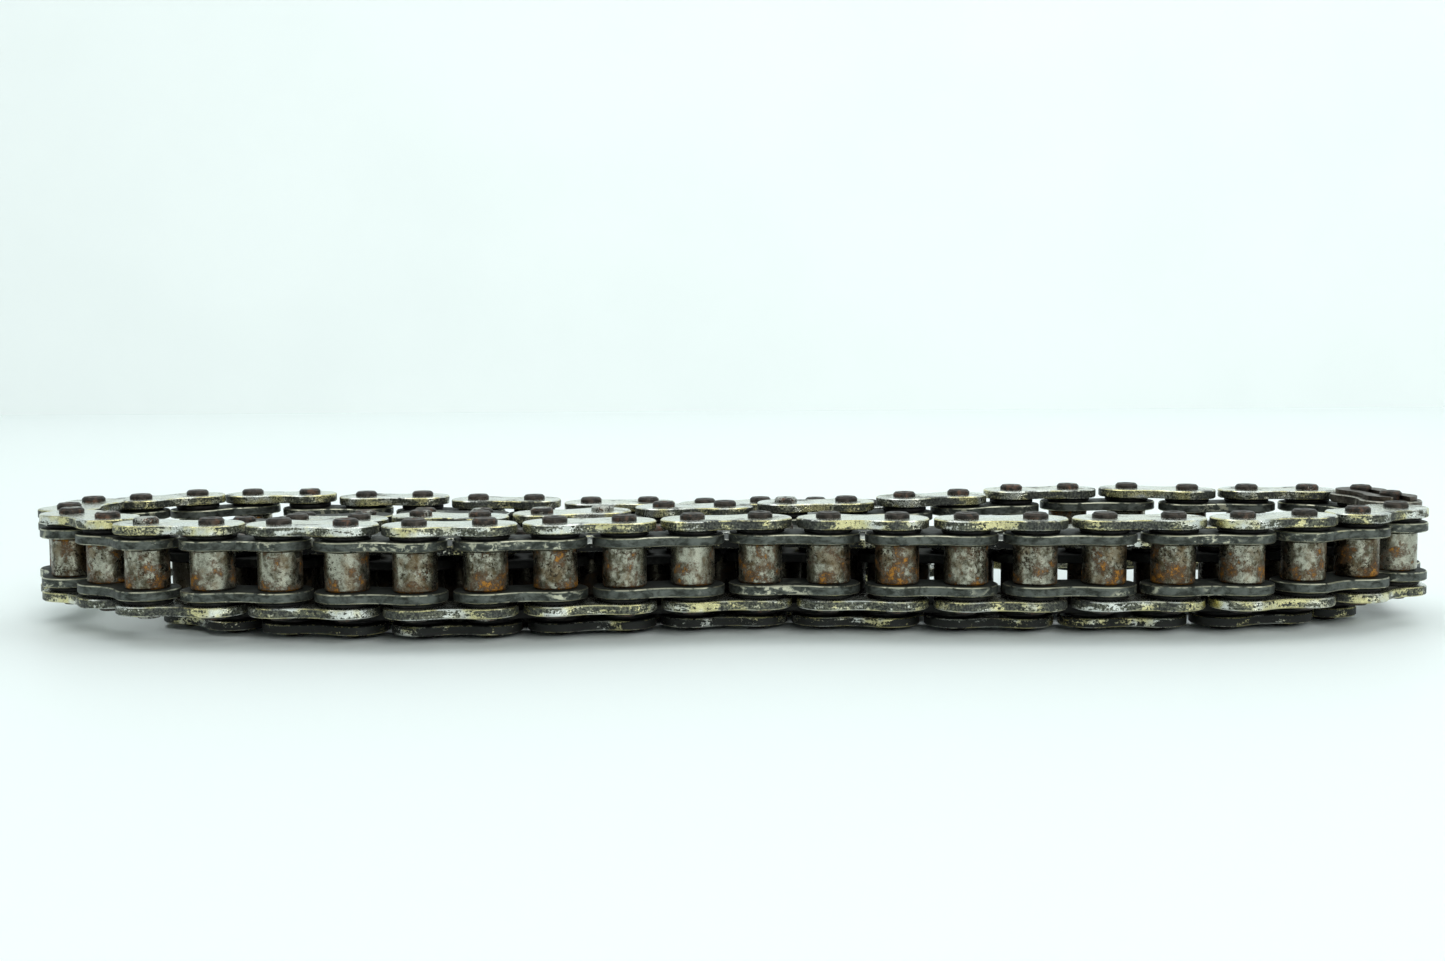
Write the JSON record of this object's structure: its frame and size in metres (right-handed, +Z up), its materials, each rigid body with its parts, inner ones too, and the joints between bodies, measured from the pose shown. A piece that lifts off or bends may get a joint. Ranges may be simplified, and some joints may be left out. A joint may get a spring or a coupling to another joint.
{
  "type": "roller chain",
  "caption": "Used endless O-ring roller chain with a spring-clip connecting link, lying on its side folded into a flat pile, with one end of the loop free to swing.",
  "frame": {"origin": "middle of the pile's footprint, on the surface that it lies on", "axes": "+X along the front run, +Z up along the pins, -Y towards the front run's side"},
  "size_m": [0.3456, 0.1102, 0.0305],
  "materials": {
    "outer_plate": "worn pale plating with dark grime",
    "inner_plate": "dark oiled steel",
    "pin": "dark, brown with rust",
    "bush": "dull oiled steel",
    "seal": "matte black",
    "roller": "dull grey with brown rust patches",
    "connecting_plate": "dark brown, oiled",
    "connecting_pin": "dark, oiled",
    "clip": "dark brown spring steel"
  },
  "bodies": {
    "pile": {"front_run_outer_plates": "outer_plate", "front_run_inner_plates": "inner_plate", "front_run_pins": "pin", "front_run_bushes": "bush", "front_run_seals": "seal", "front_run_rollers": "roller", "back_run_outer_plates": "outer_plate", "back_run_inner_plates": "inner_plate", "back_run_pins": "pin", "back_run_bushes": "bush", "back_run_seals": "seal", "back_run_rollers": "roller", "lower_run_outer_plates": "outer_plate", "lower_run_inner_plates": "inner_plate", "lower_run_pins": "pin", "lower_run_bushes": "bush", "lower_run_seals": "seal", "lower_run_rollers": "roller"},
    "front_link_15": {"front_link_15_plates": "inner_plate", "front_link_15_bushes": "bush"},
    "front_link_16": {"front_link_16_plates": "outer_plate", "front_link_16_pins": "pin", "front_link_16_seals": "seal"},
    "front_link_17": {"front_link_17_plates": "inner_plate", "front_link_17_bushes": "bush"},
    "loop_end": {"end_outer_plates": "outer_plate", "end_inner_plates": "inner_plate", "end_pins": "pin", "end_bushes": "bush", "end_seals": "seal", "connecting_back_plate": "connecting_plate", "connecting_cover_plate": "connecting_plate", "connecting_pins": "connecting_pin", "connecting_seals": "seal"},
    "back_link_27": {"back_link_27_plates": "inner_plate", "back_link_27_bushes": "bush"},
    "back_link_26": {"back_link_26_plates": "outer_plate", "back_link_26_pins": "pin", "back_link_26_seals": "seal"},
    "back_link_25": {"back_link_25_plates": "inner_plate", "back_link_25_bushes": "bush"},
    "clip": {"spring_clip": "clip"},
    "roller_12": {"roller_12": "roller"},
    "roller_13": {"roller_13": "roller"},
    "roller_14": {"roller_14": "roller"},
    "roller_15": {"roller_15": "roller"},
    "roller_16": {"roller_16": "roller"},
    "roller_17": {"roller_17": "roller"},
    "roller_18": {"roller_18": "roller"},
    "roller_19": {"roller_19": "roller"},
    "roller_20": {"roller_20": "roller"},
    "roller_21": {"roller_21": "roller"},
    "roller_22": {"roller_22": "roller"},
    "roller_23": {"roller_23": "roller"},
    "roller_24": {"roller_24": "roller"},
    "roller_25": {"roller_25": "roller"},
    "roller_26": {"roller_26": "roller"},
    "roller_27": {"roller_27": "roller"},
    "roller_28": {"roller_28": "roller"}
  },
  "joints": [
    {"name": "front_fold_15", "type": "hinge", "parent": "pile", "child": "front_link_15", "pos_m": [0.07036, -0.0416, 0.01767], "axis": [0, 0, 1], "range_deg": [-22, 0]},
    {"name": "front_fold_16", "type": "hinge", "parent": "front_link_15", "child": "front_link_16", "pos_m": [0.08624, -0.0416, 0.01767], "axis": [0, 0, 1], "range_deg": [0, 22]},
    {"name": "front_fold_17", "type": "hinge", "parent": "front_link_16", "child": "front_link_17", "pos_m": [0.10211, -0.0416, 0.01767], "axis": [0, 0, 1], "range_deg": [-22, 0]},
    {"name": "front_fold_18", "type": "hinge", "parent": "front_link_17", "child": "loop_end", "pos_m": [0.11799, -0.0416, 0.01767], "axis": [0, 0, 1], "range_deg": [0, 22]},
    {"name": "back_fold_28", "type": "hinge", "parent": "pile", "child": "back_link_27", "pos_m": [0.09179, 0.02786, 0.01783], "axis": [0, 0, 1], "range_deg": [-22, 0]},
    {"name": "back_fold_27", "type": "hinge", "parent": "back_link_27", "child": "back_link_26", "pos_m": [0.10766, 0.02786, 0.01791], "axis": [0, 0, 1], "range_deg": [0, 22]},
    {"name": "back_fold_26", "type": "hinge", "parent": "back_link_26", "child": "back_link_25", "pos_m": [0.12261, 0.02251, 0.01791], "axis": [0, 0, 1], "range_deg": [-22, 0]},
    {"name": "clip_unlock", "type": "slide", "parent": "loop_end", "child": "clip", "axis": [-0.0951, 0.9955, 0], "range_m": [0, 0.007]},
    {"name": "roller_12_spin", "type": "hinge", "parent": "pile", "child": "roller_12", "pos_m": [0.02293, -0.03764, 0.01767], "axis": [0, 0, 1], "continuous": true},
    {"name": "roller_13_spin", "type": "hinge", "parent": "pile", "child": "roller_13", "pos_m": [0.03869, -0.03952, 0.01767], "axis": [0, 0, 1], "continuous": true},
    {"name": "roller_14_spin", "type": "hinge", "parent": "pile", "child": "roller_14", "pos_m": [0.0545, -0.041, 0.01767], "axis": [0, 0, 1], "continuous": true},
    {"name": "roller_15_spin", "type": "hinge", "parent": "front_link_15", "child": "roller_15", "pos_m": [0.07036, -0.0416, 0.01767], "axis": [0, 0, 1], "continuous": true},
    {"name": "roller_16_spin", "type": "hinge", "parent": "front_link_15", "child": "roller_16", "pos_m": [0.08624, -0.0416, 0.01767], "axis": [0, 0, 1], "continuous": true},
    {"name": "roller_17_spin", "type": "hinge", "parent": "front_link_17", "child": "roller_17", "pos_m": [0.10211, -0.0416, 0.01767], "axis": [0, 0, 1], "continuous": true},
    {"name": "roller_18_spin", "type": "hinge", "parent": "front_link_17", "child": "roller_18", "pos_m": [0.11799, -0.0416, 0.01767], "axis": [0, 0, 1], "continuous": true},
    {"name": "roller_19_spin", "type": "hinge", "parent": "loop_end", "child": "roller_19", "pos_m": [0.13342, -0.03786, 0.01767], "axis": [0, 0, 1], "continuous": true},
    {"name": "roller_20_spin", "type": "hinge", "parent": "loop_end", "child": "roller_20", "pos_m": [0.14808, -0.03179, 0.01767], "axis": [0, 0, 1], "continuous": true},
    {"name": "roller_21_spin", "type": "hinge", "parent": "loop_end", "child": "roller_21", "pos_m": [0.1608, -0.02229, 0.01773], "axis": [0, 0, 1], "continuous": true},
    {"name": "roller_22_spin", "type": "hinge", "parent": "loop_end", "child": "roller_22", "pos_m": [0.16541, -0.00709, 0.01788], "axis": [0, 0, 1], "continuous": true},
    {"name": "roller_23_spin", "type": "hinge", "parent": "loop_end", "child": "roller_23", "pos_m": [0.1639, 0.00871, 0.01788], "axis": [0, 0, 1], "continuous": true},
    {"name": "roller_24_spin", "type": "hinge", "parent": "loop_end", "child": "roller_24", "pos_m": [0.15432, 0.02136, 0.01784], "axis": [0, 0, 1], "continuous": true},
    {"name": "roller_25_spin", "type": "hinge", "parent": "back_link_25", "child": "roller_25", "pos_m": [0.13848, 0.02251, 0.01788], "axis": [0, 0, 1], "continuous": true},
    {"name": "roller_26_spin", "type": "hinge", "parent": "back_link_25", "child": "roller_26", "pos_m": [0.12261, 0.02251, 0.01791], "axis": [0, 0, 1], "continuous": true},
    {"name": "roller_27_spin", "type": "hinge", "parent": "back_link_27", "child": "roller_27", "pos_m": [0.10766, 0.02786, 0.01791], "axis": [0, 0, 1], "continuous": true},
    {"name": "roller_28_spin", "type": "hinge", "parent": "back_link_27", "child": "roller_28", "pos_m": [0.09179, 0.02786, 0.01783], "axis": [0, 0, 1], "continuous": true}
  ],
  "couplings": [
    {"joint": "front_fold_16", "follows": "front_fold_15", "ratio": -1},
    {"joint": "back_fold_28", "follows": "front_fold_15", "ratio": 1},
    {"joint": "back_fold_27", "follows": "front_fold_15", "ratio": -1},
    {"joint": "front_fold_18", "follows": "front_fold_17", "ratio": -1},
    {"joint": "back_fold_26", "follows": "front_fold_17", "ratio": 1}
  ]
}
